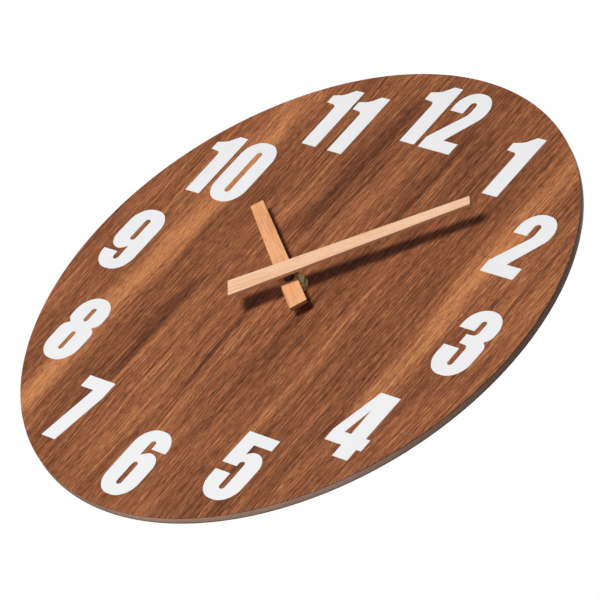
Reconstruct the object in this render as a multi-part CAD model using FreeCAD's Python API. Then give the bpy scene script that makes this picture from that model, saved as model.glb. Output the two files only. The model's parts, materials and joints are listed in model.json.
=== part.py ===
import FreeCAD, Part
import math
import os

# Round wooden wall clock: a thin veneered disc with flat white numerals, two tapered wooden
# hands, and a battery quartz movement behind the dial, clamped by one nut on a threaded stem.
#
# Everything is modelled about the hands' pivot: X towards 3 o'clock, Y towards 12 o'clock and
# Z forwards from the wall. save() turns it upright, so that in the part's own frame +Z is up,
# the dial faces -Y and the origin is the centre of the hanger's hole, in the plane of the wall.

V = FreeCAD.Vector

# ---------------------------------------------------------------- driving dimensions (mm)
DIAL_R = 150.0
VENEER = 0.6
CORE = 2.9
PRINT = 0.2
NUMERAL_RING = 121.6

CASE_SIDE = 56.0
CASE_DEPTH = 16.0
CASE_CORNER = 3.0
CASE_WALL = 1.4
FRONT_WALL = 1.1
COVER = 1.6
HANGER_STEEL = 1.2
GASKET = 0.8
WASHER = 0.5
NUT_HEIGHT = 2.5
NUT_FLATS = 12.2
WASHER_R = 7.0
GASKET_R = 9.0

# Hands: gaps in front of the dial, reach and tail from the pivot, widths at tip and tail
HOUR_GAP = 4.7
HOUR_THICK = 2.3
HOUR_REACH = 69.0
HOUR_TAIL = 22.3
HOUR_TIP_WIDTH = 7.2
HOUR_TAIL_WIDTH = 9.6
HOUR_OFFSET = -1.0
HOUR_ANGLE = 302.5
MINUTE_GAP = 12.0
MINUTE_THICK = 2.0
MINUTE_REACH = 98.5
MINUTE_TAIL = 30.0
MINUTE_TIP_WIDTH = 6.2
MINUTE_TAIL_WIDTH = 11.2
MINUTE_ANGLE = 45.7

# Layers from the wall forwards
DIAL_BACK = CASE_DEPTH + HANGER_STEEL + GASKET
DIAL_FRONT = DIAL_BACK + 2 * VENEER + CORE
NUT_TOP = DIAL_FRONT + WASHER + NUT_HEIGHT
STEM_TOP = NUT_TOP + 0.6
HOUR_BACK = DIAL_FRONT + HOUR_GAP
HOUR_FRONT = HOUR_BACK + HOUR_THICK
MINUTE_BACK = DIAL_FRONT + MINUTE_GAP

# Concentric shafts at the pivot
STEM_R = 4.0
STEM_BORE = 2.56
STEM_FLANGE_R = 6.0
STEM_LOW = 14.0
HOUR_TUBE_R = 2.5
HOUR_TUBE_BORE = 1.70
HOUR_TUBE_TOP = HOUR_FRONT + 0.2
ARBOR_R = 1.65
ARBOR_FOOT_R = 1.4
FLANGE_R = 3.2
FLANGE = 0.6
HUB_R = 2.0
PIVOT_R = 0.5
FIT = 0.05

# Bushes of the hands
BUSH_WALL = 0.4
HOUR_BUSH_FLANGE_R = 3.6
HOUR_BUSH_FLANGE = 0.5
MINUTE_BUSH_R = 2.6
MINUTE_BUSH_FLANGE_R = 4.0
MINUTE_BUSH_FLANGE = 0.6
MINUTE_BUSH_LOW = MINUTE_BACK - 3.6
MINUTE_TOP = MINUTE_BACK - MINUTE_BUSH_FLANGE

# Hanger
HANGER_RISE = 37.0
HANGER_HOLE_R = 4.0
HANGER_WIDTH = 20.0
HANGER_CRANK = 30.0
HANGER_FOOT = 12.0
HANGER_BEND = 1.6
HANGER_CORNER = 3.0

# Chambers of the movement case
INNER = CASE_SIDE / 2 - CASE_WALL
FRONT_INNER = CASE_DEPTH - FRONT_WALL
WALL_LOW = -11.4
WALL_HIGH = -10.4
BRIDGE_BACK = 9.2
BRIDGE_FRONT = 10.2
POSTS = ((23.5, 23.5), (23.5, -7.5), (-12.0, 23.5))
POST_R = 1.5
BOSS_R = 1.6
BOSS_HIGH = 2.5
BOSS_DEPTH = 0.9

# Gear train: teeth and modules
CENTRE_TEETH = 64
THIRD_LEAVES = 8
CENTRE_M = 0.26
THIRD_TEETH = 60
SECOND_LEAVES = 8
THIRD_M = 0.22
SECOND_TEETH = 60
MIDDLE_LEAVES = 10
SECOND_M = 0.20
MIDDLE_TEETH = 60
ROTOR_LEAVES = 12
MIDDLE_M = 0.18
CANNON_LEAVES = 12
SETTING_TEETH = 36
SETTING_M = 0.42
SETTING_LEAVES = 10
HOUR_TEETH = 40
HOUR_M = SETTING_M * (CANNON_LEAVES + SETTING_TEETH) / (SETTING_LEAVES + HOUR_TEETH)
WHEEL_THICK = 0.7
LEAF_LENGTH = 1.4

# Direction from each wheel to the next, in degrees anticlockwise from 3 o'clock
TO_THIRD = 60.0
TO_SECOND = 70.0
TO_MIDDLE = 165.0
TO_ROTOR = 195.0
TO_SETTING = -10.0

# Layer of each wheel, as the depth of its back face, and the ends of the arbors
CENTRE_Z = 7.6
THIRD_Z = 5.6
SECOND_Z = 3.7
MIDDLE_Z = 6.65
SETTING_Z = 11.4
HOUR_Z = 13.0
SETTING_LEAF_LENGTH = 2.6
LEAF_LEAD = 0.35
REAR_PIVOT = 1.2
REAR_SHOULDER = 2.7
CLUTCH_THICK = 0.3
CLUTCH_REACH = 5.6
CLUTCH_ARM = 0.7

# Setting knob and the recess it sits in
KNOB_ARBOR_R = 1.2
KNOB_R = 5.0
KNOB_RIBS = 24
KNOB_BACK = 0.4
KNOB_FRONT = 3.0
KNOB_FLOOR = 1.0
RECESS_R = 5.8
RECESS_DEPTH = 3.3
RECESS_WALL = 0.9

# Stepping motor: rotor, pole pieces and coil
MAGNET_LOW = 3.2
MAGNET_HIGH = 4.8
MAGNET_R = 3.0
ROTOR_HUB = 0.8
STATOR_LOW = 3.6
STATOR_HIGH = 4.4
STATOR_BORE = 3.6
STATOR_RIM = 5.0
POLE_GAP = 0.25
CORE_X = -20.5
CORE_HALF = 1.2
CORE_HIGH = STATOR_HIGH + 1.2
CORE_BOTTOM = -9.5
CORE_TOP = 19.6
COIL_LOW = -5.0
COIL_HIGH = 11.0
COIL_Z = (STATOR_HIGH + CORE_HIGH) / 2
COIL_R = 3.1
TUBE_R = 1.7
CHEEK_R = 3.3
CHEEK = 0.8

# Circuit board and battery contacts
BOARD_LOW = 1.8
BOARD_HIGH = 2.6
RESIN_R = 3.3
RESIN_SUNK = 2.5
CRYSTAL_R = 0.95
CRYSTAL_LENGTH = 6.0
LEAD_LOW = 4.0
LEAD_HIGH = 6.0
LEAD = 0.2
LEAD_HALF = 2.0
LEG_STEP = 0.9
POSITIVE_SLIT = -6.0
NEGATIVE_SLIT = -14.0
PLATE_IN = 26.1
PLATE_OUT = 26.5
PLATE_BOTTOM = -24.0
PLATE_LOW = 3.0
PLATE_HIGH = 12.5
LEAF_R = 3.0
LEAF_THICK = 0.3
LEAF_X = -27.6
LEAF_Y = -21.9
LEAF_WIDTH = 6.0

# Battery, size AA
BATTERY_R = 7.15
BATTERY_LENGTH = 49.5
BATTERY_X = -24.5
BATTERY_Y = -18.9
BATTERY_Z = 7.6
BUTTON_R = 2.7
BUTTON = 1.0


# ---------------------------------------------------------------- plain shapes
def wire(corners):
    """Closed outline through corners (x, y) or (x, y, fillet radius)."""
    points = [V(c[0], c[1], 0) for c in corners]
    radii = [c[2] if len(c) > 2 else 0 for c in corners]
    bends = []
    for i, corner in enumerate(points):
        if not radii[i]:
            bends.append((corner, None, corner))
            continue
        back = (points[i - 1] - corner).normalize()
        ahead = (points[(i + 1) % len(points)] - corner).normalize()
        half = back.getAngle(ahead) / 2
        cut = radii[i] / math.tan(half)
        bisector = (back + ahead).normalize()
        middle = corner + bisector * (radii[i] / math.sin(half) - radii[i])
        bends.append((corner + back * cut, middle, corner + ahead * cut))
    edges = []
    for i, (start, middle, end) in enumerate(bends):
        if middle:
            edges.append(Part.Arc(start, middle, end).toShape())
        following = bends[(i + 1) % len(bends)][0]
        if (following - end).Length > 1e-5:
            edges.append(Part.LineSegment(end, following).toShape())
    return Part.Wire(edges)


def prism(corners, low, high, holes=()):
    """Outline raised from low to high, with outlines cut through it."""
    solid = Part.Face(wire(corners)).extrude(V(0, 0, high - low))
    for hole in holes:
        solid = solid.cut(Part.Face(wire(hole)).extrude(V(0, 0, high - low)))
    solid.translate(V(0, 0, low))
    return solid


def disc(radius, low, high, x=0.0, y=0.0, bore=0.0):
    """Cylinder along Z, with an optional bore."""
    solid = Part.makeCylinder(radius, high - low, V(x, y, low))
    if bore:
        solid = solid.cut(Part.makeCylinder(bore, high - low, V(x, y, low)))
    return solid


def block(x0, y0, z0, x1, y1, z1):
    """Box between two opposite corners."""
    return Part.makeBox(x1 - x0, y1 - y0, z1 - z0, V(x0, y0, z0))


def rectangle(half_x, half_y, corner):
    """Corners of a rounded rectangle about the origin."""
    return [(-half_x, -half_y, corner), (half_x, -half_y, corner),
            (half_x, half_y, corner), (-half_x, half_y, corner)]


def joined(*solids):
    """One solid out of several that touch."""
    return solids[0].fuse(list(solids[1:])).removeSplitter()


def save(name, shape):
    """Stand the piece upright, put the origin at the hanger's hole and write it."""
    shape = shape.copy()
    shape.rotate(V(0, 0, 0), V(1, 0, 0), 90)
    shape.translate(V(0, 0, -HANGER_RISE))
    shape.exportStep("parts/" + name + ".step")


# ---------------------------------------------------------------- gears
def step_from(place, degrees, distance):
    """The point at a distance and direction from another."""
    angle = math.radians(degrees)
    return (place[0] + distance * math.cos(angle), place[1] + distance * math.sin(angle))


def meshed(phase, teeth, mate_teeth, degrees):
    """Phase of a mate at this direction whose gap takes the gear's tooth."""
    angle = math.radians(degrees)
    return angle + math.pi - (phase - angle) * teeth / mate_teeth - math.pi / mate_teeth


def gear(teeth, module, low, high, place, phase, root_share, tip_share):
    """Straight-flanked gear. The shares are a tooth's part of the pitch at root and tip."""
    pitch = 2 * math.pi / teeth
    root = module * (teeth / 2 - 1.15)
    tip = module * (teeth / 2 + 0.8)
    corners = []
    for k in range(teeth):
        middle = phase + k * pitch
        for radius, share in ((root, -root_share), (tip, -tip_share), (tip, tip_share), (root, root_share)):
            angle = middle + share * pitch / 2
            corners.append((place[0] + radius * math.cos(angle), place[1] + radius * math.sin(angle)))
    return prism(corners, low, high)


def wheel(teeth, module, low, high, place, phase):
    """Large gear."""
    return gear(teeth, module, low, high, place, phase, 0.50, 0.22)


def pinion(leaves, module, low, high, place, phase):
    """Small gear, with slim leaves."""
    return gear(leaves, module, low, high, place, phase, 0.36, 0.22)


CENTRE = (0.0, 0.0)
THIRD = step_from(CENTRE, TO_THIRD, CENTRE_M * (CENTRE_TEETH + THIRD_LEAVES) / 2)
SECOND = step_from(THIRD, TO_SECOND, THIRD_M * (THIRD_TEETH + SECOND_LEAVES) / 2)
MIDDLE = step_from(SECOND, TO_MIDDLE, SECOND_M * (SECOND_TEETH + MIDDLE_LEAVES) / 2)
ROTOR = step_from(MIDDLE, TO_ROTOR, MIDDLE_M * (MIDDLE_TEETH + ROTOR_LEAVES) / 2)
SETTING = step_from(CENTRE, TO_SETTING, SETTING_M * (CANNON_LEAVES + SETTING_TEETH) / 2)


def axle(place, low, high, radius):
    """Arbor between its two shoulders, with a pivot at each end."""
    return joined(disc(radius, REAR_SHOULDER, BRIDGE_BACK - 0.2, *place),
                  disc(PIVOT_R, low, high, *place))


def train_wheel(place, teeth, module, z, phase, leaves, leaf_module, leaf_z, leaf_phase):
    """Wheel and pinion moulded on one arbor."""
    leaf_low = leaf_z - LEAF_LEAD
    return joined(wheel(teeth, module, z, z + WHEEL_THICK, place, phase),
                  pinion(leaves, leaf_module, leaf_low, leaf_low + LEAF_LENGTH, place, leaf_phase),
                  axle(place, REAR_PIVOT, BRIDGE_FRONT, leaf_module * (leaves / 2 - 1.15)))


def third_wheel():
    leaf_phase = meshed(0.0, CENTRE_TEETH, THIRD_LEAVES, TO_THIRD)
    return train_wheel(THIRD, THIRD_TEETH, THIRD_M, THIRD_Z, 0.0,
                       THIRD_LEAVES, CENTRE_M, CENTRE_Z, leaf_phase)


def second_wheel():
    leaf_phase = meshed(0.0, THIRD_TEETH, SECOND_LEAVES, TO_SECOND)
    return train_wheel(SECOND, SECOND_TEETH, SECOND_M, SECOND_Z, 0.0,
                       SECOND_LEAVES, THIRD_M, THIRD_Z, leaf_phase)


def intermediate_wheel():
    leaf_phase = meshed(0.0, SECOND_TEETH, MIDDLE_LEAVES, TO_MIDDLE)
    return train_wheel(MIDDLE, MIDDLE_TEETH, MIDDLE_M, MIDDLE_Z, 0.0,
                       MIDDLE_LEAVES, SECOND_M, SECOND_Z, leaf_phase)


def rotor_pinion():
    """Plastic arbor of the motor's rotor, with its pinion."""
    phase = meshed(0.0, MIDDLE_TEETH, ROTOR_LEAVES, TO_ROTOR)
    low = MIDDLE_Z - LEAF_LEAD
    return joined(pinion(ROTOR_LEAVES, MIDDLE_M, low, low + LEAF_LENGTH, ROTOR, phase),
                  axle(ROTOR, REAR_PIVOT, BRIDGE_FRONT, ROTOR_HUB))


def rotor_magnet():
    return disc(MAGNET_R, MAGNET_LOW, MAGNET_HIGH, *ROTOR, bore=ROTOR_HUB)


def centre_wheel():
    """Wheel that the train drives. It grips the minute arbor by friction."""
    blank = wheel(CENTRE_TEETH, CENTRE_M, CENTRE_Z, CENTRE_Z + WHEEL_THICK, CENTRE, 0.0)
    return blank.cut(disc(HUB_R, CENTRE_Z, CENTRE_Z + WHEEL_THICK))


def clutch_spring():
    """Three-armed spring washer that presses the centre wheel on the arbor's flange."""
    low = CENTRE_Z + WHEEL_THICK
    high = low + CLUTCH_THICK
    solid = disc(FLANGE_R, low, high)
    for k in range(3):
        arm = block(0, -CLUTCH_ARM, low, CLUTCH_REACH, CLUTCH_ARM, high)
        arm.rotate(V(0, 0, 0), V(0, 0, 1), 120 * k + 30)
        solid = solid.fuse(arm)
    return solid.removeSplitter().cut(disc(HUB_R, low, high))


def minute_arbor():
    """Steel arbor of the minute hand, with its friction flange and the motion work's pinion."""
    phase = math.radians(TO_SETTING)
    low = SETTING_Z - 0.2
    high = low + LEAF_LENGTH
    return joined(disc(PIVOT_R, REAR_PIVOT, REAR_SHOULDER),
                  disc(ARBOR_FOOT_R, REAR_SHOULDER, CENTRE_Z),
                  disc(FLANGE_R, CENTRE_Z - FLANGE, CENTRE_Z),
                  disc(HUB_R, CENTRE_Z, low),
                  pinion(CANNON_LEAVES, SETTING_M, low, high, CENTRE, phase),
                  disc(ARBOR_R, high, MINUTE_TOP))


def setting_wheel():
    """Minute wheel of the motion work, on the arbor that carries the setting knob."""
    phase = meshed(math.radians(TO_SETTING), CANNON_LEAVES, SETTING_TEETH, TO_SETTING)
    return joined(wheel(SETTING_TEETH, SETTING_M, SETTING_Z, SETTING_Z + WHEEL_THICK, SETTING, phase),
                  pinion(SETTING_LEAVES, HOUR_M, SETTING_Z, SETTING_Z + SETTING_LEAF_LENGTH, SETTING, 0.0),
                  disc(KNOB_ARBOR_R, KNOB_FLOOR, SETTING_Z, *SETTING),
                  disc(PIVOT_R, SETTING_Z, FRONT_INNER - 0.1, *SETTING))


def setting_knob():
    """Ribbed knob on the back, pressed on the setting arbor."""
    module = 2 * KNOB_R / (KNOB_RIBS + 1.6)
    body = gear(KNOB_RIBS, module, KNOB_BACK, KNOB_FRONT, SETTING, 0.0, 0.7, 0.4)
    return body.cut(disc(KNOB_ARBOR_R, KNOB_FLOOR, KNOB_FRONT, *SETTING))


def hour_wheel():
    """Hour wheel, with the tube that carries the hour hand."""
    phase = meshed(0.0, SETTING_LEAVES, HOUR_TEETH, TO_SETTING + 180)
    return joined(wheel(HOUR_TEETH, HOUR_M, HOUR_Z, HOUR_Z + WHEEL_THICK, CENTRE, phase),
                  disc(HOUR_TUBE_R, HOUR_Z - 0.2, HOUR_TUBE_TOP)).cut(
                      disc(HOUR_TUBE_BORE, HOUR_Z - 0.2, HOUR_TUBE_TOP))


# ---------------------------------------------------------------- dial
def dial_layer(low, high):
    return disc(DIAL_R, low, high, bore=STEM_R + 0.1)


def slot(x0, x1, y0, y1):
    """Corners of a narrow counter with round ends."""
    radius = (x1 - x0) / 2 - 0.01
    return [(x0, y0, radius), (x1, y0, radius), (x1, y1, radius), (x0, y1, radius)]


ARCH = 11.0
BOWL = 5.0
SIX = [(0, 0, ARCH), (24.1, 0, ARCH), (24.1, 28.3, 8), (14.6, 28.3, 3), (10.2, 25.6),
       (10.2, 35.3, 1.79), (13.8, 35.3, 1.79), (13.8, 30.5), (24.1, 30.5), (24.1, 41.9, ARCH),
       (0, 41.9, ARCH)]
SIX_EYE = slot(10.2, 13.8, 6.6, 21.5)


def upside_down(corners):
    """The same outline turned half a turn, for a nine out of a six."""
    return [(24.1 - c[0], 41.9 - c[1]) + tuple(c[2:]) for c in corners]


# Each digit: width, height, outline and counters, from its lower left corner
DIGITS = {
    "0": (24.0, 42.0, [(0, 0, ARCH), (24, 0, ARCH), (24, 42, ARCH), (0, 42, ARCH)],
          [slot(10.1, 13.9, 6.5, 35.5)]),
    "1": (17.5, 40.4, [(7.1, 0), (17.5, 0), (17.5, 40.4), (11.5, 40.4), (6.4, 35.6, 8), (0, 33.7),
                       (0, 28.7), (7.1, 28.2, 2.4)], []),
    "2": (23.2, 41.2, [(0, 0), (22.2, 0), (22.2, 7.4), (11.8, 7.4), (23.2, 27, 10), (23.2, 41.2, ARCH),
                       (0, 41.2, ARCH), (0, 26.5), (9, 26.5), (9, 34.7, 2.05), (13.2, 34.7, 2.05),
                       (13.2, 26.6, 6), (0, 7)], []),
    "3": (23.9, 42.2, [(0, 0, ARCH), (23.9, 0, ARCH), (23.9, 21.6, BOWL), (20.4, 24.2),
                       (23.6, 26.6, BOWL), (23.6, 42.2, ARCH), (0.2, 42.2, ARCH), (0.2, 28.7),
                       (10.4, 28.7), (10.4, 35.6, 1.7), (13.9, 35.6, 1.7), (13.9, 26.2, 2.5),
                       (7.7, 25.8), (7.7, 20), (13.9, 19.7, 2.5), (13.9, 6.5, 1.7),
                       (10.4, 6.5, 1.7), (10.4, 17), (0, 17)], []),
    "4": (25.2, 40.8, [(8.7, 40.8), (0, 13.9), (0, 7.1), (11.8, 7.1), (11.8, 0), (22.1, 0),
                       (22.1, 7.1), (25.2, 7.1), (25.2, 14.3), (22.1, 14.3), (22.1, 40.8)],
          [[(11.7, 30.2), (7.4, 14.3), (12.0, 14.3)]]),
    "5": (24.2, 41.3, [(0.7, 41.3), (0.2, 21), (10.4, 21), (10.4, 24.5, 1.8), (14.1, 24.5, 1.8),
                       (14.1, 6.6, 1.8), (10.4, 6.6, 1.8), (10.4, 16.2), (0, 16.2), (0, 0, ARCH),
                       (24.2, 0, ARCH), (24.2, 30.9, 8.5), (13.6, 30.9, 3), (9.9, 28.7),
                       (9.9, 34.8), (22.3, 34.8), (22.3, 41.3)], []),
    "6": (24.1, 41.9, SIX, [SIX_EYE]),
    "7": (19.4, 40.5, [(0, 40.5), (0, 33.1), (9.7, 33.1), (3.0, 0), (13.3, 0), (19.4, 30.5),
                       (19.4, 40.5)], []),
    "8": (24.1, 42.0, [(0, 0, ARCH), (24.1, 0, ARCH), (24.1, 21.3, BOWL), (20.2, 23.8),
                       (23.7, 26.3, BOWL), (23.7, 42, ARCH), (0.4, 42, ARCH), (0.4, 26.3, BOWL),
                       (3.9, 23.8), (0, 21.3, BOWL)],
          [slot(10.5, 13.6, 26.3, 35.5), slot(10.5, 13.6, 6.6, 19.1)]),
    "9": (24.1, 41.9, upside_down(SIX), [upside_down(SIX_EYE)]),
}
PAIR_GAP = {10: 3.4, 11: 1.7, 12: 3.2}

# Each numeral is set by eye: its shift from the even ring
NUMERAL_SHIFT = {1: (-1.6, -1.0), 2: (0.6, 0.4), 3: (0.2, -0.7), 4: (-1.9, -0.9), 5: (-2.5, 0.2),
                 6: (-0.4, -0.1), 7: (-1.8, 0.2), 8: (-0.1, -1.5), 9: (-1.2, -2.1),
                 10: (2.5, -4.4), 11: (-1.3, -1.6), 12: (-1.5, -0.3)}


def numeral(number):
    """Flat printed numeral of the dial, upright on its ring."""
    digits = [DIGITS[letter] for letter in str(number)]
    width = sum(digit[0] for digit in digits) + PAIR_GAP.get(number, 0)
    height = max(digit[1] for digit in digits)
    centre = step_from(NUMERAL_SHIFT[number], 90 - 30 * number, NUMERAL_RING)
    left = centre[0] - width / 2
    solids = []
    for digit_width, digit_height, outline, counters in digits:
        solid = prism(outline, DIAL_FRONT, DIAL_FRONT + PRINT, counters)
        solid.translate(V(left, centre[1] - height / 2 + (height - digit_height) / 2, 0))
        solids.append(solid)
        left += digit_width + PAIR_GAP.get(number, 0)
    return solids[0] if len(solids) == 1 else Part.makeCompound(solids)


# ---------------------------------------------------------------- hands
def hand(angle, front, tail, tip_width, tail_width, offset, low, thick):
    """Flat bar that widens towards its tail, turned clockwise from 12 o'clock."""
    solid = prism([(offset - tail_width / 2, -tail), (offset + tail_width / 2, -tail),
                   (offset + tip_width / 2, front), (offset - tip_width / 2, front)],
                  low, low + thick)
    solid.rotate(V(0, 0, 0), V(0, 0, 1), -angle)
    return solid


def hour_hand():
    bar = hand(HOUR_ANGLE, HOUR_REACH, HOUR_TAIL, HOUR_TIP_WIDTH, HOUR_TAIL_WIDTH, HOUR_OFFSET,
               HOUR_BACK, HOUR_THICK)
    return bar.cut(disc(HOUR_TUBE_R + BUSH_WALL, HOUR_BACK, HOUR_FRONT))


def hour_hand_bush():
    """Bush through the hour hand, with a flange on its back."""
    low = HOUR_BACK - HOUR_BUSH_FLANGE
    high = HOUR_FRONT + 0.1
    return joined(disc(HOUR_BUSH_FLANGE_R, low, HOUR_BACK),
                  disc(HOUR_TUBE_R + BUSH_WALL, HOUR_BACK, high)).cut(disc(HOUR_TUBE_R, low, high))


def minute_hand():
    return hand(MINUTE_ANGLE, MINUTE_REACH, MINUTE_TAIL, MINUTE_TIP_WIDTH, MINUTE_TAIL_WIDTH, 0.0,
                MINUTE_BACK, MINUTE_THICK)


def minute_hand_bush():
    """Blind bush glued to the minute hand's back, pressed on the arbor."""
    return joined(disc(MINUTE_BUSH_R, MINUTE_BUSH_LOW, MINUTE_BACK),
                  disc(MINUTE_BUSH_FLANGE_R, MINUTE_TOP, MINUTE_BACK)).cut(
                      disc(ARBOR_R, MINUTE_BUSH_LOW, MINUTE_TOP))


# ---------------------------------------------------------------- fixing and hanger
def threaded_stem():
    """Brass stem of the movement, plain at its thread's outer diameter."""
    return joined(disc(STEM_FLANGE_R, STEM_LOW, FRONT_INNER),
                  disc(STEM_R, FRONT_INNER, STEM_TOP)).cut(disc(STEM_BORE, STEM_LOW, STEM_TOP))


def fixing_nut():
    """Hexagonal nut with a chamfered front."""
    low = DIAL_FRONT + WASHER
    corner_r = NUT_FLATS / math.sqrt(3)
    corners = [step_from(CENTRE, 60 * k + 12, corner_r) for k in range(6)]
    cone = Part.makeCone(corner_r + 1.6, NUT_FLATS / 2, NUT_HEIGHT, V(0, 0, low))
    return prism(corners, low, NUT_TOP).common(cone).cut(disc(STEM_R, low, NUT_TOP))


def washer():
    return disc(WASHER_R, DIAL_FRONT, DIAL_FRONT + WASHER, bore=STEM_R + 0.2)


def rubber_gasket():
    return disc(GASKET_R, DIAL_BACK - GASKET, DIAL_BACK, bore=STEM_R)


def wall_hanger():
    """Steel strip under the dial, cranked back over the case so that its tab lies on the wall."""
    half = HANGER_WIDTH / 2
    top = HANGER_RISE + half
    front_low = CASE_DEPTH
    front_high = CASE_DEPTH + HANGER_STEEL
    inner = HANGER_BEND - HANGER_STEEL
    side = [(-HANGER_FOOT, front_low), (HANGER_CRANK, front_low, inner),
            (HANGER_CRANK, 0, HANGER_BEND), (top, 0),
            (top, HANGER_STEEL), (HANGER_CRANK + HANGER_STEEL, HANGER_STEEL, inner),
            (HANGER_CRANK + HANGER_STEEL, front_high, HANGER_BEND), (-HANGER_FOOT, front_high)]
    strip = Part.Face(wire(side)).extrude(V(0, 0, HANGER_WIDTH))
    strip.rotate(V(0, 0, 0), V(1, 1, 1), 120)
    strip.translate(V(-half, 0, 0))
    round_end = half - 0.01
    outline = prism([(-half, -HANGER_FOOT, HANGER_CORNER), (half, -HANGER_FOOT, HANGER_CORNER),
                     (half, top, round_end), (-half, top, round_end)], -1, front_high + 1)
    strip = strip.common(outline)
    strip = strip.cut(disc(STEM_R + 0.1, front_low, front_high))
    return strip.cut(disc(HANGER_HOLE_R, 0, HANGER_STEEL, 0, HANGER_RISE))


# ---------------------------------------------------------------- movement case
def front_case():
    """Deep shell towards the dial, with the wall that parts the train from the battery."""
    half = CASE_SIDE / 2
    shell = prism(rectangle(half, half, CASE_CORNER), COVER, CASE_DEPTH)
    shell = shell.cut(prism(rectangle(INNER, INNER, CASE_CORNER - CASE_WALL), COVER, FRONT_INNER))
    shell = joined(shell, block(-INNER, WALL_LOW, COVER, INNER, WALL_HIGH, FRONT_INNER),
                   *[disc(POST_R, BRIDGE_FRONT, FRONT_INNER, *post) for post in POSTS],
                   disc(BOSS_R, FRONT_INNER - BOSS_DEPTH, FRONT_INNER, *SETTING))
    shell = shell.cut(disc(PIVOT_R + FIT, FRONT_INNER - BOSS_DEPTH, FRONT_INNER, *SETTING))
    reach = LEAD_HALF + 0.1
    for slit in (POSITIVE_SLIT, NEGATIVE_SLIT):
        shell = shell.cut(block(slit - reach, WALL_LOW, LEAD_LOW - 0.1,
                                slit + reach, WALL_HIGH, LEAD_HIGH + 0.1))
    return shell.cut(disc(STEM_R, FRONT_INNER, CASE_DEPTH))


def rear_cover():
    """Back of the case, with a recess for the setting knob and an opening for the battery."""
    half = CASE_SIDE / 2
    cover = prism(rectangle(half, half, CASE_CORNER), 0, COVER)
    recess_top = RECESS_DEPTH + RECESS_WALL
    cover = joined(cover, disc(RECESS_R + RECESS_WALL, 0, recess_top, *SETTING),
                   *[disc(BOSS_R, COVER, BOSS_HIGH, *place)
                     for place in (CENTRE, THIRD, SECOND, MIDDLE, ROTOR)])
    cover = cover.cut(disc(RECESS_R, 0, RECESS_DEPTH, *SETTING))
    cover = cover.cut(disc(KNOB_ARBOR_R + FIT, RECESS_DEPTH, recess_top, *SETTING))
    for place in (CENTRE, THIRD, SECOND, MIDDLE, ROTOR):
        cover = cover.cut(disc(PIVOT_R + FIT, REAR_PIVOT - 0.1, BOSS_HIGH, *place))
    opening = [(-INNER, -INNER, 1), (INNER, -INNER, 1), (INNER, WALL_LOW, 1), (-INNER, WALL_LOW, 1)]
    return cover.cut(prism(opening, 0, COVER))


def train_bridge():
    """Plate between the train and the motion work, with the arbors' front bearings."""
    plate = prism([(-15.5, -9.8, 1), (26, -9.8, 1), (26, 26, 2), (-15.5, 26, 2)],
                  BRIDGE_BACK, BRIDGE_FRONT)
    plate = plate.cut(disc(HUB_R + FIT, BRIDGE_BACK, BRIDGE_FRONT))
    plate = plate.cut(disc(KNOB_ARBOR_R + FIT, BRIDGE_BACK, BRIDGE_FRONT, *SETTING))
    for place in (THIRD, SECOND, MIDDLE, ROTOR):
        plate = plate.cut(disc(PIVOT_R + FIT, BRIDGE_BACK, BRIDGE_FRONT, *place))
    return plate


# ---------------------------------------------------------------- motor and electrics
def stator():
    """Two pole pieces around the rotor, reaching to the two ends of the coil's core."""
    x, y = ROTOR
    ring = disc(STATOR_RIM, STATOR_LOW, STATOR_HIGH, x, y)
    upper = ring.fuse(block(CORE_X - 2, 16.2, STATOR_LOW, x, 19.8, STATOR_HIGH))
    upper = upper.common(block(-30, y + POLE_GAP, 0, 30, 30, 10))
    lower = ring.fuse([block(-11, CORE_BOTTOM, STATOR_LOW, -8, y, STATOR_HIGH),
                       block(CORE_X - 2, CORE_BOTTOM, STATOR_LOW, -8, CORE_BOTTOM + 2.7, STATOR_HIGH)])
    lower = lower.common(block(-30, -30, 0, 30, y - POLE_GAP, 10))
    bore = disc(STATOR_BORE, STATOR_LOW, STATOR_HIGH, x, y)
    return Part.makeCompound([upper.cut(bore).removeSplitter(), lower.cut(bore).removeSplitter()])


def coil_core():
    return block(CORE_X - CORE_HALF, CORE_BOTTOM, STATOR_HIGH, CORE_X + CORE_HALF, CORE_TOP, CORE_HIGH)


def along_y(radius, low, high):
    """Cylinder along Y about the coil's axis."""
    return Part.makeCylinder(radius, high - low, V(CORE_X, low, COIL_Z), V(0, 1, 0))


def coil_bobbin():
    body = joined(along_y(TUBE_R, COIL_LOW, COIL_HIGH), along_y(CHEEK_R, COIL_LOW - CHEEK, COIL_LOW),
                  along_y(CHEEK_R, COIL_HIGH, COIL_HIGH + CHEEK))
    return body.cut(coil_core())


def coil_winding():
    return along_y(COIL_R, COIL_LOW, COIL_HIGH).cut(along_y(TUBE_R, COIL_LOW, COIL_HIGH))


def circuit_board():
    return prism([(-15.6, -9.8), (-3.4, -9.8), (-3.4, 8, 1), (-15.6, 8, 1)], BOARD_LOW, BOARD_HIGH)


def circuit_chip():
    """Drop of black resin over the driver chip."""
    ball = Part.makeSphere(RESIN_R, V(-5.9, 3.5, BOARD_HIGH - RESIN_SUNK))
    return ball.common(block(-12, -3, BOARD_HIGH, 0, 10, BOARD_HIGH + 2))


def quartz_crystal():
    """Small metal can of the quartz crystal, lying on the board."""
    return Part.makeCylinder(CRYSTAL_R, CRYSTAL_LENGTH, V(-13.6, -5.2, BOARD_HIGH + CRYSTAL_R), V(0, 1, 0))


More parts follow.
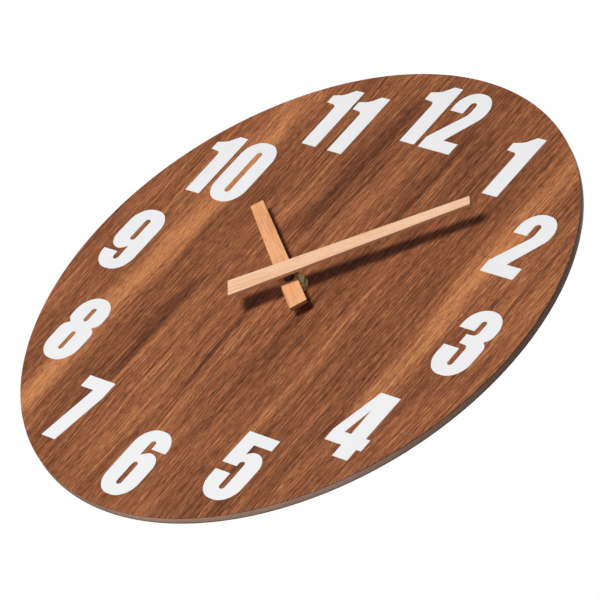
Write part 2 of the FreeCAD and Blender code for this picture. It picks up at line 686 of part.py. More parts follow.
def contact_lead(x_from, slit):
    """Strip along the battery wall, with a tab through the wall down to the board."""
    left = slit - LEAD_HALF
    right = slit + LEAD_HALF
    reach = WALL_HIGH + LEG_STEP
    strip = block(min(x_from, left), WALL_LOW - LEAD, LEAD_LOW, max(x_from, right), WALL_LOW, LEAD_HIGH)
    tab = block(left, WALL_LOW, LEAD_HIGH - LEAD, right, reach, LEAD_HIGH)
    leg = block(left, reach - LEAD, BOARD_HIGH, right, reach, LEAD_HIGH)
    return [strip, tab, leg]


def positive_contact():
    """Sprung brass plate at the battery's button."""
    plate = block(PLATE_IN, PLATE_BOTTOM, PLATE_LOW, PLATE_OUT, WALL_LOW, PLATE_HIGH)
    return joined(plate, *contact_lead(PLATE_OUT, POSITIVE_SLIT))


def negative_contact():
    """Brass plate with a bowed leaf that presses on the battery's flat end."""
    plate = block(-PLATE_OUT, PLATE_BOTTOM, PLATE_LOW, -PLATE_IN, WALL_LOW, PLATE_HIGH)
    start = V(LEAF_X, LEAF_Y, BATTERY_Z)
    along = V(0, 1, 0)
    bow = Part.makeCylinder(LEAF_R, LEAF_WIDTH, start, along)
    bow = bow.cut(Part.makeCylinder(LEAF_R - LEAF_THICK, LEAF_WIDTH, start, along))
    bow = bow.common(block(-PLATE_IN, -INNER, 0, 0, WALL_LOW, CASE_DEPTH))
    return joined(plate, bow, *contact_lead(-PLATE_OUT, NEGATIVE_SLIT))


def battery():
    """AA cell with its button towards +X."""
    axis = V(1, 0, 0)
    can = Part.makeCylinder(BATTERY_R, BATTERY_LENGTH, V(BATTERY_X, BATTERY_Y, BATTERY_Z), axis)
    can = can.makeFillet(0.5, [edge for edge in can.Edges if edge.Curve.TypeId == "Part::GeomCircle"])
    end = V(BATTERY_X + BATTERY_LENGTH, BATTERY_Y, BATTERY_Z)
    return joined(can, Part.makeCylinder(BUTTON_R, BUTTON, end, axis))


# ---------------------------------------------------------------- the assembly
def nodes():
    made = {
        "dial_rear_veneer": dial_layer(DIAL_BACK, DIAL_BACK + VENEER),
        "dial_core": dial_layer(DIAL_BACK + VENEER, DIAL_FRONT - VENEER),
        "dial_front_veneer": dial_layer(DIAL_FRONT - VENEER, DIAL_FRONT),
        "hour_hand": hour_hand(),
        "hour_hand_bush": hour_hand_bush(),
        "minute_hand": minute_hand(),
        "minute_hand_bush": minute_hand_bush(),
        "fixing_nut": fixing_nut(),
        "washer": washer(),
        "rubber_gasket": rubber_gasket(),
        "threaded_stem": threaded_stem(),
        "wall_hanger": wall_hanger(),
        "front_case": front_case(),
        "rear_cover": rear_cover(),
        "train_bridge": train_bridge(),
        "minute_arbor": minute_arbor(),
        "centre_wheel": centre_wheel(),
        "clutch_spring": clutch_spring(),
        "hour_wheel": hour_wheel(),
        "setting_wheel": setting_wheel(),
        "setting_knob": setting_knob(),
        "third_wheel": third_wheel(),
        "second_wheel": second_wheel(),
        "intermediate_wheel": intermediate_wheel(),
        "rotor_pinion": rotor_pinion(),
        "rotor_magnet": rotor_magnet(),
        "stator": stator(),
        "coil_core": coil_core(),
        "coil_bobbin": coil_bobbin(),
        "coil_winding": coil_winding(),
        "circuit_board": circuit_board(),
        "circuit_chip": circuit_chip(),
        "quartz_crystal": quartz_crystal(),
        "battery": battery(),
        "positive_contact": positive_contact(),
        "negative_contact": negative_contact(),
    }
    for number in range(1, 13):
        made["numeral_%d" % number] = numeral(number)
    return made


os.makedirs("parts", exist_ok=True)
for node_name, node_shape in nodes().items():
    save(node_name, node_shape)
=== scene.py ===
import json
import math

import bmesh
import bpy
from mathutils import Matrix, Vector


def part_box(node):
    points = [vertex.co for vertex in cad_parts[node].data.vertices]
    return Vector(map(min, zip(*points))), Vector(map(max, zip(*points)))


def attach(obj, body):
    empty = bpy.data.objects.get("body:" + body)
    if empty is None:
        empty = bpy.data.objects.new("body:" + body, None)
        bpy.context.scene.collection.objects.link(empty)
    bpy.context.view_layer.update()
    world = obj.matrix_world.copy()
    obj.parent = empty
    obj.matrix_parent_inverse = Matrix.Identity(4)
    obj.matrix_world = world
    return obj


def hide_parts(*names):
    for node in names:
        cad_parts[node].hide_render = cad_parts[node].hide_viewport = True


# A round walnut wall clock: veneered dial, white numerals, two pale wooden hands and a
# battery movement on the back. The dial faces -Y, 12 o'clock is +Z, and all sizes are metres.

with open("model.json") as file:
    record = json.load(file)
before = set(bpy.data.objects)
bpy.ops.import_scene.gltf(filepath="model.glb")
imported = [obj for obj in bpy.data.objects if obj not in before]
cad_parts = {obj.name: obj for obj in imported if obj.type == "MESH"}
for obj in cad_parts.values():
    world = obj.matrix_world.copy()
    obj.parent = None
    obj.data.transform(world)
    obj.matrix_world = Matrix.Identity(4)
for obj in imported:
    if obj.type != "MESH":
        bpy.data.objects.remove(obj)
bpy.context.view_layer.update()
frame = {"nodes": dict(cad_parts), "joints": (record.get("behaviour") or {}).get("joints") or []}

MM = 0.001
AXIS_X = Vector((1, 0, 0))
AXIS_Y = Vector((0, 1, 0))
PIVOT = Vector(next(j["pos_m"] for j in frame["joints"] if j["name"] == "minute_turn"))
KNOB = Vector(next(j["pos_m"] for j in frame["joints"] if j["name"] == "setting_turn"))
FACE_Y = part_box("dial_front_veneer")[0].y
DIAL_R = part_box("dial_core")[1].x
FACE = Vector((PIVOT.x, FACE_Y, PIVOT.z))
CASE_HALF = (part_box("front_case")[1].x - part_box("front_case")[0].x) / 2

# Clock angles of the hands, clockwise from 12.
HOUR_ANGLE = math.radians(302.5)
MINUTE_ANGLE = math.radians(45.7)

# Where an eased edge starts and ends: holes and corners of the nodes that are copied.
HOUR_BUSH_HOLE = 3.2 * MM
CASE_CORNER = 1.05 * MM
KNOB_RECESS_R = 5.8 * MM
NEAR = 0.2 * MM

# Edges sharper than EASED are rounded, and edges sharper than CREASE stay crisp in shading.
EASED = math.radians(40.0)
CREASE = math.radians(30.0)
WELD = 1.0e-6

# A level face has at least this area, and no neighbour of this share of it that turns gently away.
LEVEL_AREA = 2.0e-6
LEVEL_SHARE = 0.3
GENTLE_TURN = (0.003, 0.52)


# ---------------------------------------------------------------- camera, light and floor
def add_camera():
    """Long lens, well to the right of the clock and below it, rolled to the left."""
    place = FACE + Vector((1.5948, -1.3077, -0.8284))
    aim = FACE + Vector((0.00907, 0.0, -0.00607))
    roll = math.radians(42.0)
    data = bpy.data.cameras.new("camera")
    data.lens = 273.5
    data.sensor_width = 36.0
    camera = bpy.data.objects.new("camera", data)
    bpy.context.scene.collection.objects.link(camera)
    look = (aim - place).to_track_quat("-Z", "Y").to_matrix().to_4x4()
    camera.matrix_world = Matrix.Translation(place) @ look @ Matrix.Rotation(roll, 4, "Z")
    bpy.context.scene.camera = camera


def add_area(name, place, aim, size, power, colour=(1.0, 1.0, 1.0)):
    """Round softbox at a place, pointed at a point."""
    data = bpy.data.lights.new(name, "AREA")
    data.shape = "DISK"
    data.size = size
    data.energy = power
    data.color = colour
    light = bpy.data.objects.new(name, data)
    light.rotation_mode = "QUATERNION"
    light.rotation_quaternion = (Vector(aim) - Vector(place)).to_track_quat("-Z", "Y")
    light.location = place
    bpy.context.scene.collection.objects.link(light)


def add_light():
    """Softbox a little below the dial's normal, bounces from below and above, and a rear fill.

    The white surround is bright to the camera, fair in reflections and faint as light.
    """
    add_area("key", FACE + Vector((-0.07, -2.39, -0.41)), FACE, 0.74, 53.6, (1.0, 0.985, 0.97))
    add_area("low_bounce", FACE + Vector((0.51, 0.94, -0.97)), FACE, 0.9, 5.4)
    add_area("top_bounce", FACE + Vector((0.35, 0.55, 1.5)), FACE, 0.9, 4.0)
    add_area("rear_fill", FACE + Vector((-0.9, 2.0, 1.1)), FACE, 1.2, 48.0)
    bpy.context.scene.view_settings.view_transform = "Standard"
    world = bpy.data.worlds.new("surround")
    bpy.context.scene.world = world
    world.use_nodes = True
    nodes, links = world.node_tree.nodes, world.node_tree.links
    nodes.clear()
    path = nodes.new("ShaderNodeLightPath")
    shown = background(nodes, (0.78, 1.0, 1.22), 0.030)
    for ray, strength in (("Is Glossy Ray", 0.30), ("Is Camera Ray", 1.0)):
        mix = nodes.new("ShaderNodeMixShader")
        links.new(path.outputs[ray], mix.inputs["Fac"])
        links.new(shown, mix.inputs[1])
        links.new(background(nodes, (1.0, 1.0, 1.0), strength), mix.inputs[2])
        shown = mix.outputs["Shader"]
    links.new(shown, nodes.new("ShaderNodeOutputWorld").inputs["Surface"])


def background(nodes, colour, strength):
    """Even surround of one colour and strength."""
    made = nodes.new("ShaderNodeBackground")
    made.inputs["Color"].default_value = (*colour, 1.0)
    made.inputs["Strength"].default_value = strength
    return made.outputs["Background"]


def add_floor():
    """Pale floor, at the height below which a wall clock hangs."""
    mesh = bpy.data.meshes.new("floor")
    shape = bmesh.new()
    bmesh.ops.create_grid(shape, x_segments=1, y_segments=1, size=6.0,
                          matrix=Matrix.Translation((0, 0, -1.5)))
    shape.to_mesh(mesh)
    shape.free()
    floor = bpy.data.objects.new("floor", mesh)
    bpy.context.scene.collection.objects.link(floor)
    finish = Finish("floor_paint", Roughness=0.8)
    cloud = finish.noise(finish.place, 3.0, 3)
    colour = finish.ramp(cloud, [(0.3, (0.80, 0.80, 0.80)), (0.7, (0.84, 0.84, 0.84))])
    finish.feed(Base_Color=colour)
    mesh.materials.append(finish.material)


# ---------------------------------------------------------------- shader maths
class Signal:
    """A shader socket that takes part in Python arithmetic."""

    def __init__(self, finish, socket):
        self.finish = finish
        self.socket = socket

    def _math(self, operation, first, second):
        return self.finish.node("ShaderNodeMath", {"operation": operation}, {0: first, 1: second})

    def __add__(self, other):
        return self._math("ADD", self, other)

    __radd__ = __add__

    def __sub__(self, other):
        return self._math("SUBTRACT", self, other)

    def __rsub__(self, other):
        return self._math("SUBTRACT", other, self)

    def __mul__(self, other):
        return self._math("MULTIPLY", self, other)

    __rmul__ = __mul__

    def __truediv__(self, other):
        return self._math("DIVIDE", self, other)

    def __abs__(self):
        return self._math("ABSOLUTE", self, 0.0)

    def between(self, low, high):
        """0 up to low and 1 past high, turning smoothly between; low may be the larger."""
        turned = low > high
        first, last = min(low, high), max(low, high)
        step = self.finish.node("ShaderNodeMapRange", {"interpolation_type": "SMOOTHSTEP"},
                                {"Value": self, "From Min": first, "From Max": last})
        return 1 - step if turned else step


class Finish:
    """A procedural surface. Constants are set on the shader's own sockets."""

    def __init__(self, name, **constants):
        self.material = bpy.data.materials.new(name)
        self.material.use_nodes = True
        self.tree = self.material.node_tree
        self.tree.nodes.clear()
        self.shader = self.tree.nodes.new("ShaderNodeBsdfPrincipled")
        out = self.tree.nodes.new("ShaderNodeOutputMaterial")
        self.tree.links.new(self.shader.outputs["BSDF"], out.inputs["Surface"])
        for key, value in constants.items():
            self.shader.inputs[key.replace("_", " ")].default_value = value
        self.place = self.node("ShaderNodeTexCoord", output="Object")

    def node(self, kind, settings=None, inputs=None, output=0):
        """Any node: its settings first, then the values or links of its sockets."""
        made = self.tree.nodes.new(kind)
        for key, value in (settings or {}).items():
            setattr(made, key, value)
        for key, value in (inputs or {}).items():
            if isinstance(value, Signal):
                self.tree.links.new(value.socket, made.inputs[key])
            else:
                made.inputs[key].default_value = value
        return Signal(self, made.outputs[output])

    def axes(self, vector=None):
        """The three parts of a vector."""
        split = self.node("ShaderNodeSeparateXYZ", inputs={0: vector or self.place})
        outputs = split.socket.node.outputs
        return [Signal(self, outputs[i]) for i in range(3)]

    def vector(self, x=0.0, y=0.0, z=0.0):
        return self.node("ShaderNodeCombineXYZ", inputs={0: x, 1: y, 2: z})

    def mapped(self, scale, turn=(0, 0, 0), shift=(0, 0, 0)):
        """The place on the object, scaled, turned and shifted."""
        return self.node("ShaderNodeMapping", inputs={
            "Vector": self.place, "Location": shift, "Rotation": turn, "Scale": scale})

    def noise(self, vector, scale=1.0, detail=2.0, roughness=0.5):
        return self.node("ShaderNodeTexNoise", inputs={
            "Vector": vector, "Scale": scale, "Detail": detail, "Roughness": roughness})

    def ramp(self, value, stops):
        """Colour ramp through (position, colour) stops."""
        made = self.node("ShaderNodeValToRGB", inputs={0: value})
        elements = made.socket.node.color_ramp.elements
        while len(elements) < len(stops):
            elements.new(1.0)
        for element, (position, colour) in zip(elements, stops):
            element.position = position
            element.color = (*colour, 1.0)
        return made

    def mix(self, amount, first, second):
        """Mix of two colours."""
        colours = [c if isinstance(c, Signal) else (*c, 1.0) for c in (first, second)]
        return self.node("ShaderNodeMix", {"data_type": "RGBA"},
                         {0: amount, 6: colours[0], 7: colours[1]}, output=2)

    def bump(self, height, depth):
        """Normal of a height between 0 and 1 that stands this deep, in metres."""
        return self.node("ShaderNodeBump", inputs={
            "Height": height, "Distance": depth, "Strength": 1.0})

    def feed(self, **sockets):
        """Link signals to the shader's sockets, with an underscore for each space of a name."""
        for key, value in sockets.items():
            self.tree.links.new(value.socket, self.shader.inputs[key.replace("_", " ")])
        return self.material


def srgb(red, green, blue):
    """Linear colour of an 8-bit screen colour."""
    shares = [channel / 255 for channel in (red, green, blue)]
    return tuple(s / 12.92 if s <= 0.04045 else ((s + 0.055) / 1.055) ** 2.4 for s in shares)


# ---------------------------------------------------------------- woods
def walnut(name, seed, colours, bands=()):
    """Veneer with upright grain: slow figure, streaks, lines, hairs and open pores.

    A band is (centre, lean, half width, gain, from, to): where it crosses the pivot's height,
    how far it moves sideways per metre upwards, how much lighter it is, and between which
    heights from the pivot it shows.
    """
    finish = Finish(name, Specular_IOR_Level=0.2)
    x, y, z = finish.axes()
    drift = finish.noise(finish.mapped((7, 7, 3.2), shift=(seed, 0, 0)), 1.0, 2)
    sway = finish.noise(finish.mapped((40, 20, 13), shift=(0, seed, 0)), 1.0, 2)
    across = x + drift * 0.024 + sway * 0.0034 - 0.0137

    def grain(pitch, length, seed_step, detail=2.0):
        """Noise of this pitch across the grain and this length along it, in metres."""
        upwards = z * (1 / length) + seed + seed_step
        stretched = finish.vector(across * (1 / pitch), y * (0.3 / pitch), upwards)
        return finish.noise(stretched, 1.0, detail, 0.6)

    figure = grain(0.026, 0.42, 0.0, 3)
    streak = grain(0.0056, 0.16, 3.1)
    line = grain(0.0017, 0.060, 7.7)
    hair = grain(0.00085, 0.030, 11.3)
    fibre = grain(0.00060, 0.0060, 14.9)
    pore = grain(0.00060, 0.0032, 17.9, 1)
    patch = grain(0.040, 0.085, 23.1)
    coarse = figure * 0.40 + streak * 0.24 + line * 0.34
    tone = coarse + hair * 0.84 + fibre * 0.90 + patch * 0.20 - 0.96
    height = z - PIVOT.z
    fade = 12 * MM
    for centre, lean, width, gain, low, high in bands:
        side = abs(across - height * lean - centre).between(width, width * 0.1)
        ends = height.between(low - fade, low + fade) * height.between(high + fade, high - fade)
        tone = tone + side * ends * gain * (streak + 0.5)
    dark, deep, mid, light, glow = colours
    stops = [(0.20, dark), (0.36, deep), (0.50, mid), (0.64, light), (0.84, glow)]
    colour = finish.ramp(tone, stops)
    pores = pore.between(0.56, 0.68)
    shown = finish.mix(pores * 0.54, colour, dark)
    relief = hair * 0.35 + line * 0.25 - pores * 0.8
    return finish.feed(Base_Color=shown, Roughness=0.50 + pores * 0.25 - tone * 0.10,
                       Normal=finish.bump(relief, 0.00005))


def pale_wood(name, angle, tint, shade, edge, seed):
    """Close-grained pale wood, its grain along a hand at this clock angle and its cut sides darker,
    partly as scorch from cutting and partly as painted shade.
    """
    finish = Finish(name)
    along = finish.mapped((1, 1, 1), turn=(0, -angle, 0))
    x, y, z = finish.axes(along)
    facing = finish.axes(finish.node("ShaderNodeNewGeometry", output=1))[1]
    line = finish.noise(finish.vector(x * 620, y * 300, z * 14 + seed), 1.0, 3, 0.6)
    hair = finish.noise(finish.vector(x * 1900, y * 1400, z * 90 + seed), 1.0, 2, 0.5)
    fleck = finish.noise(finish.vector(x * 1700, y * 1700, z * 330 + seed), 1.0, 1, 0.5)
    cloud = finish.noise(finish.vector(x * 60, y * 60, z * 24 + seed), 1.0, 2, 0.5)
    tone = line * 0.45 + hair * 0.60 + cloud * 0.45 - 0.25
    pale = tuple(min(0.95, c * f) for c, f in zip(tint, (1.03, 1.08, 1.16)))
    colour = finish.ramp(tone, [(0.32, shade), (0.50, tint), (0.70, pale)])
    flecks = fleck.between(0.56, 0.70)
    colour = finish.mix(flecks * 0.45, colour, shade)
    # Painted shade with the cutting scorch: faces turned away from the dial's normal take the side
    # colour.
    darker_cut = abs(facing).between(0.80, 0.35) * (0.70 + hair * 0.3)
    colour = finish.mix(darker_cut, colour, edge)
    return finish.feed(Base_Color=colour, Roughness=0.46 + line * 0.12 + darker_cut * 0.2,
                       Normal=finish.bump(hair * 0.5 - flecks * 0.4, 0.00003))


def cut_board():
    """Saw- and laser-cut edge of fibreboard: brown, darker towards its two faces."""
    finish = Finish("cut_board", Roughness=0.72)
    low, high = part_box("dial_core")
    y = finish.axes()[1]
    fibre = finish.noise(finish.mapped((500, 1900, 500)), 1.0, 3, 0.65)
    cloud = finish.noise(finish.mapped((26, 26, 26)), 1.0, 3, 0.5)
    depth = (y - low.y) / (high.y - low.y)
    darker_cut = abs(depth - 0.5).between(0.30, 0.52)
    tone = fibre * 0.55 + cloud * 0.45 - darker_cut * 0.14
    stops = [(0.28, srgb(146, 111, 92)), (0.5, srgb(172, 135, 115)), (0.72, srgb(194, 160, 140))]
    colour = finish.ramp(tone, stops)
    return finish.feed(Base_Color=colour, Normal=finish.bump(fibre, 0.00005))


# ---------------------------------------------------------------- print, metals and plastics
def printed_white():
    """Matt white ink, with the veneer's grain just showing through its surface."""
    finish = Finish("printed_white", Roughness=0.55)
    x, y, z = finish.axes()
    cloud = finish.noise(finish.mapped((60, 60, 30)), 1.0, 3)
    weave = finish.noise(finish.vector(x * 1500, y * 300, z * 60), 1.0, 2)
    stops = [(0.3, (0.83, 0.84, 0.86)), (0.7, (0.875, 0.88, 0.89))]
    colour = finish.ramp(cloud * 0.6 + weave * 0.4, stops)
    return finish.feed(Base_Color=colour, Roughness=0.5 + weave * 0.12,
                       Normal=finish.bump(weave, 0.000012))


def metal(name, dark, light, rough, axis=(1, 1, 1), grain=900.0, bare=1.0):
    """Worked metal: fine lines, clouded tarnish and uneven gloss. Oxide makes it less bare."""
    finish = Finish(name, Metallic=bare)
    cloud = finish.noise(finish.mapped((170, 170, 170)), 1.0, 3, 0.6)
    line = finish.noise(finish.mapped(tuple(grain * a for a in axis)), 1.0, 2, 0.6)
    colour = finish.ramp(cloud * 0.75 + line * 0.25, [(0.30, dark), (0.66, light)])
    return finish.feed(Base_Color=colour, Roughness=rough + (cloud - 0.5) * 0.22 + line * 0.08,
                       Normal=finish.bump(line, 0.000012))


def plastic(name, dark, light, rough):
    """Moulded plastic: eroded tool texture, faint flow clouds and rubbed spots."""
    finish = Finish(name)
    pits = finish.noise(finish.place, 2600.0, 2, 0.6)
    cloud = finish.noise(finish.place, 42.0, 3, 0.6)
    colour = finish.ramp(cloud * 0.7 + pits * 0.3, [(0.3, dark), (0.7, light)])
    return finish.feed(Base_Color=colour, Roughness=rough + (cloud - 0.5) * 0.16 + (pits - 0.5) * 0.1,
                       Normal=finish.bump(pits, 0.00003))


def winding_copper():
    """Enamelled copper wire laid in close turns along the coil."""
    finish = Finish("winding_copper", Metallic=1.0)
    z = finish.axes()[2]
    wire = 0.22 * MM
    turn = finish.node("ShaderNodeMath", {"operation": "SINE"}, {0: z * (2 * math.pi / wire)})
    cloud = finish.noise(finish.place, 500.0, 2)
    stops = [(0.2, (0.35, 0.10, 0.04)), (0.8, (0.80, 0.36, 0.16))]
    # The turns also change the colour: painted shade in the grooves between turns and a painted
    # highlight on their crests.
    colour = finish.ramp(cloud * 0.6 + turn * 0.2 + 0.2, stops)
    return finish.feed(Base_Color=colour, Roughness=0.30 + cloud * 0.15,
                       Normal=finish.bump(turn, 0.00004))


def battery_jacket():
    """Plain printed jacket: a dark field, a light band at the button's end and bare steel ends."""
    finish = Finish("battery_jacket")
    low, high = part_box("battery")
    x = finish.axes()[0]
    along = (x - low.x) / (high.x - low.x)
    band = along.between(0.735, 0.738)
    steel = along.between(0.962, 0.965) + along.between(0.012, 0.009)
    scuff = finish.noise(finish.mapped((60, 500, 500)), 1.0, 3, 0.7)
    colour = finish.mix(band, srgb(38, 60, 84), srgb(196, 170, 96))
    colour = finish.mix(scuff.between(0.62, 0.78) * 0.25, colour, (0.5, 0.5, 0.5))
    colour = finish.mix(steel, colour, (0.62, 0.62, 0.63))
    return finish.feed(Base_Color=colour, Metallic=0.35 + steel * 0.65,
                       Roughness=0.26 + scuff * 0.22)


# ---------------------------------------------------------------- shapes
def finished(name, shape, material, body):
    """Turn a bmesh into a named piece, with its faces outwards and its sharp edges kept."""
    bmesh.ops.recalc_face_normals(shape, faces=shape.faces)
    curved = [not level(face) for face in shape.faces]
    mesh = bpy.data.meshes.new(name)
    shape.to_mesh(mesh)
    shape.free()
    if "custom_normal" in mesh.attributes:
        mesh.attributes.remove(mesh.attributes["custom_normal"])
    mesh.set_sharp_from_angle(angle=CREASE)
    mesh.polygons.foreach_set("use_smooth", curved)
    mesh.materials.append(material)
    piece = bpy.data.objects.new(name, mesh)
    bpy.context.scene.collection.objects.link(piece)
    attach(piece, body)
    return piece


def level(face):
    """A plane with only corners and narrow eased strips round it, so that it's shaded flat."""
    area = face.calc_area()
    if area < LEVEL_AREA:
        return False
    least, most = GENTLE_TURN
    for edge in face.edges:
        gentle = least < edge.calc_face_angle(0.0) < most
        for other in edge.link_faces:
            if gentle and other is not face and other.calc_area() > LEVEL_SHARE * area:
                return False
    return True


def eased(shape, width, steps=2, where=None):
    """Round every sharp edge, or only those whose middle passes a test."""
    edges = [e for e in shape.edges if len(e.link_faces) == 2 and e.calc_face_angle(0.0) > EASED]
    if where:
        edges = [e for e in edges if where((e.verts[0].co + e.verts[1].co) / 2)]
    bmesh.ops.bevel(shape, geom=edges, offset=width, offset_type="OFFSET", segments=steps,
                    profile=0.5, affect="EDGES", clamp_overlap=True, material=-1)


def lathe(profile, steps, centre, axis, closed=True):
    """Solid of revolution from (radius, distance along the axis) points."""
    shape = bmesh.new()
    points = [shape.verts.new(centre + axis * along + Vector((0, 0, radius)))
              for radius, along in profile]
    first = 0 if closed else 1
    edges = [shape.edges.new((points[i - 1], points[i])) for i in range(first, len(points))]
    bmesh.ops.spin(shape, geom=points + edges, cent=centre, axis=axis, angle=2 * math.pi,
                   steps=steps, use_merge=True, use_duplicate=False)
    bmesh.ops.remove_doubles(shape, verts=shape.verts, dist=WELD)
    return shape


def softened(node, name, width, material, body, steps=2, where=None):
    """Copy of a CAD node with its edges eased, standing for that node."""
    shape = bmesh.new()
    shape.from_mesh(frame["nodes"][node].data)
    bmesh.ops.remove_doubles(shape, verts=shape.verts, dist=WELD)
    bmesh.ops.dissolve_limit(shape, angle_limit=math.radians(0.6), verts=shape.verts,
                             edges=shape.edges)
    eased(shape, width, steps, where=where)
    piece = finished(name, shape, material, body)
    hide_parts(node)
    return piece


def recoated(material, *names):
    """CAD nodes whose shape is right take a finer material."""
    for name in names:
        data = frame["nodes"][name].data
        data.materials.clear()
        data.materials.append(material)


# ---------------------------------------------------------------- dial
FACE_WOOD = [srgb(72, 36, 20), srgb(109, 61, 35), srgb(139, 83, 52), srgb(166, 104, 67),
             srgb(208, 138, 86)]
REAR_WOOD = [srgb(88, 54, 38), srgb(112, 72, 50), srgb(132, 88, 62), srgb(150, 104, 74),
             srgb(172, 124, 88)]

# The face's light and dark bands: (centre, lean, half width, gain, from, to), as walnut reads them.
FACE_BANDS = [
    (-0.095, 0.03, 0.015, 0.255, -0.15, 0.15),
    (0.096, -0.01, 0.011, 0.23, -0.06, 0.15),
    (0.046, 0.0, 0.0035, 0.15, -0.10, 0.03),
    (-0.026, 0.0, 0.0016, 0.09, -0.12, -0.012),
    (-0.012, 0.0, 0.0022, -0.26, -0.075, -0.02),
    (-0.006, 0.0, 0.0045, 0.09, -0.11, -0.03),
    (-0.0592, 0.0, 0.0064, -0.20, -0.080, -0.012),
    (-0.0534, 0.0, 0.0022, 0.08, -0.085, -0.03),
    (-0.043, 0.0, 0.0016, 0.12, 0.015, 0.085),
    (-0.026, 0.02, 0.013, -0.15, 0.03, 0.13),
    (-0.013, 0.02, 0.0020, -0.16, 0.02, 0.09),
    (-0.002, 0.02, 0.0045, 0.09, 0.02, 0.10),
    (0.024, 0.0, 0.0032, -0.14, 0.05, 0.10),
    (0.041, 0.0, 0.005, -0.10, 0.04, 0.11),
    (0.070, 0.03, 0.009, -0.05, -0.05, 0.10),
    (-0.132, 0.0, 0.010, 0.04, -0.08, 0.08),
]


def add_dial():
    """The board and its two veneers, with a hair-fine arris at each face."""
    steps = 384
    bore = 4.1 * MM
    layers = {
        "dial_front_veneer": (walnut("walnut_face", 3.7, FACE_WOOD, FACE_BANDS), "walnut_face",
                              0.12 * MM),
        "dial_core": (cut_board(), "core_board", 0.03 * MM),
        "dial_rear_veneer": (walnut("walnut_back", 21.3, REAR_WOOD), "walnut_back", 0.12 * MM),
    }
    for node, (wood, slot, arris) in layers.items():
        low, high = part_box(node)
        profile = [(bore, low.y), (DIAL_R, low.y), (DIAL_R, high.y), (bore, high.y)]
        shape = lathe(profile, steps, Vector((PIVOT.x, 0, PIVOT.z)), AXIS_Y)
        eased(shape, arris)
        piece = finished(node.replace("dial_", "board_"), shape, wood, "clock")
        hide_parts(node)


def add_numerals():
    recoated(printed_white(), *["numeral_%d" % number for number in range(1, 13)])


# ---------------------------------------------------------------- hands and their fixing
def add_hands():
    pale = pale_wood("minute_beech", MINUTE_ANGLE, srgb(242, 197, 161), srgb(228, 170, 126),
                     srgb(196, 138, 98), 1.0)
    # The hour hand's side colour is darker than the minute hand's: painted shade for its tail end,
    # which lies in shade.
    warm = pale_wood("hour_beech", HOUR_ANGLE, srgb(240, 172, 121), srgb(214, 141, 95),
                     srgb(136, 88, 66), 7.0)
    softened("minute_hand", "minute_bar", 0.32 * MM, pale, "minute", 3)
    softened("hour_hand", "hour_bar", 0.32 * MM, warm, "hour", 3, outside_bush)
    black = metal("blackened_steel", (0.10, 0.065, 0.05), (0.20, 0.15, 0.12), 0.40)
    softened("minute_hand_bush", "minute_bush", 0.12 * MM, black, "minute")
    softened("hour_hand_bush", "hour_bush", 0.10 * MM, black, "hour")
    steel = metal("ground_steel", (0.30, 0.29, 0.28), (0.54, 0.53, 0.52), 0.3)
    recoated(steel, "minute_arbor")


def outside_bush(place):
    """Edges that aren't the hole through the hour hand."""
    return math.hypot(place.x - PIVOT.x, place.z - PIVOT.z) > HOUR_BUSH_HOLE


def add_fixing():
    brass = metal("aged_brass", (0.60, 0.49, 0.20), (0.90, 0.80, 0.44), 0.30, bare=0.75)
    softened("fixing_nut", "hex_nut", 0.22 * MM, brass, "clock")
    softened("washer", "brass_washer", 0.1 * MM, brass, "clock")
    softened("threaded_stem", "stem", 0.1 * MM, brass, "clock")
    rubber = plastic("soft_rubber", (0.016, 0.016, 0.016), (0.035, 0.034, 0.033), 0.75)
    recoated(rubber, "rubber_gasket")
    zinc = metal("zinc_plate", (0.40, 0.41, 0.42), (0.66, 0.67, 0.68), 0.36, (1, 1, 0.15), 700.0)
    softened("wall_hanger", "hanging_strap", 0.16 * MM, zinc, "clock")


# ---------------------------------------------------------------- movement
def outer_edge(place):
    """Edges on the outside of the square case."""
    return max(abs(place.x - PIVOT.x), abs(place.z - PIVOT.z)) > CASE_HALF - CASE_CORNER


def cover_edge(place):
    """Edges of the cover's outside and of the rim of the knob's recess."""
    recess = math.hypot(place.x - KNOB.x, place.z - KNOB.z)
    on_rim = abs(recess - KNOB_RECESS_R) < NEAR and place.y > -NEAR
    return on_rim or outer_edge(place)


def add_case():
    black = plastic("case_plastic", (0.018, 0.018, 0.019), (0.036, 0.036, 0.037), 0.48)
    softened("front_case", "case_shell", 0.4 * MM, black, "clock", 3, outer_edge)
    softened("rear_cover", "case_cover", 0.25 * MM, black, "clock", 3, cover_edge)
    grey = plastic("knob_plastic", (0.10, 0.10, 0.105), (0.17, 0.17, 0.175), 0.42)
    softened("setting_knob", "ribbed_knob", 0.10 * MM, grey, "setting")


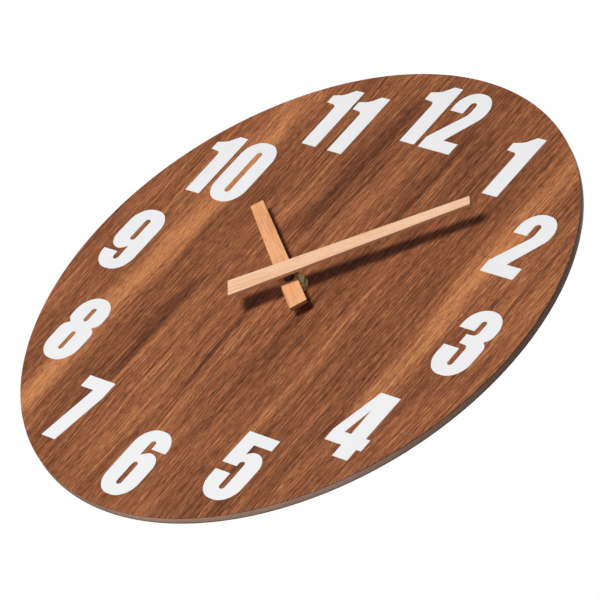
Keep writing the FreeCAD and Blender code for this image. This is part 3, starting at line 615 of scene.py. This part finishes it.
def add_battery():
    """Cell with crimped ends, a groove at each end and its button.

    The outline is (radius, distance from the flat end), in millimetres, of a cell 50.5 long.
    """
    low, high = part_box("battery")
    side = (high.z - low.z) / 2
    centre = Vector((low.x, (low.y + high.y) / 2, (low.z + high.z) / 2))
    radius = 7.15
    profile = [(0, 0), (5.0, 0), (5.3, 0.3), (6.0, 0.3), (6.3, 0.1), (6.7, 0.1), (7.0, 0.25),
               (radius, 0.7), (radius, 48.3), (7.05, 48.8), (6.7, 49.1), (6.2, 49.1), (5.9, 48.8),
               (5.5, 48.8), (5.0, 49.2), (4.4, 49.5), (2.8, 49.5), (2.7, 49.7), (2.65, 50.2),
               (2.4, 50.5), (0, 50.5)]
    scale = side / radius
    shape = lathe([(r * scale, a * MM) for r, a in profile], 96, centre, AXIS_X, closed=False)
    piece = finished("dry_cell", shape, battery_jacket(), "clock")
    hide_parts("battery")


def add_train():
    """Wheels, motor and electrics inside the case."""
    ivory = plastic("gear_acetal", (0.66, 0.64, 0.58), (0.78, 0.77, 0.72), 0.38)
    recoated(ivory, "centre_wheel", "third_wheel", "second_wheel", "intermediate_wheel",
             "rotor_pinion")
    recoated(plastic("black_acetal", (0.02, 0.02, 0.02), (0.05, 0.05, 0.05), 0.36),
             "setting_wheel", "hour_wheel")
    recoated(plastic("bridge_resin", (0.40, 0.40, 0.39), (0.55, 0.55, 0.54), 0.45), "train_bridge")
    recoated(plastic("bobbin_resin", (0.30, 0.29, 0.26), (0.42, 0.41, 0.38), 0.45), "coil_bobbin")
    recoated(plastic("board_lacquer", (0.02, 0.10, 0.05), (0.05, 0.20, 0.09), 0.30),
             "circuit_board")
    recoated(plastic("potting_resin", (0.010, 0.010, 0.011), (0.022, 0.022, 0.022), 0.22),
             "circuit_chip")
    recoated(metal("spring_steel", (0.36, 0.36, 0.36), (0.60, 0.60, 0.59), 0.28), "clutch_spring")
    recoated(metal("silicon_steel", (0.24, 0.24, 0.26), (0.44, 0.44, 0.46), 0.45),
             "stator", "coil_core")
    recoated(metal("ferrite", (0.06, 0.06, 0.065), (0.13, 0.13, 0.135), 0.5), "rotor_magnet")
    recoated(metal("crystal_tin", (0.58, 0.58, 0.57), (0.80, 0.80, 0.79), 0.25), "quartz_crystal")
    recoated(metal("contact_brass", (0.50, 0.38, 0.16), (0.74, 0.60, 0.32), 0.28),
             "positive_contact", "negative_contact")
    recoated(winding_copper(), "coil_winding")


add_camera()
add_light()
add_floor()
add_dial()
add_numerals()
add_hands()
add_fixing()
add_case()
add_battery()
add_train()
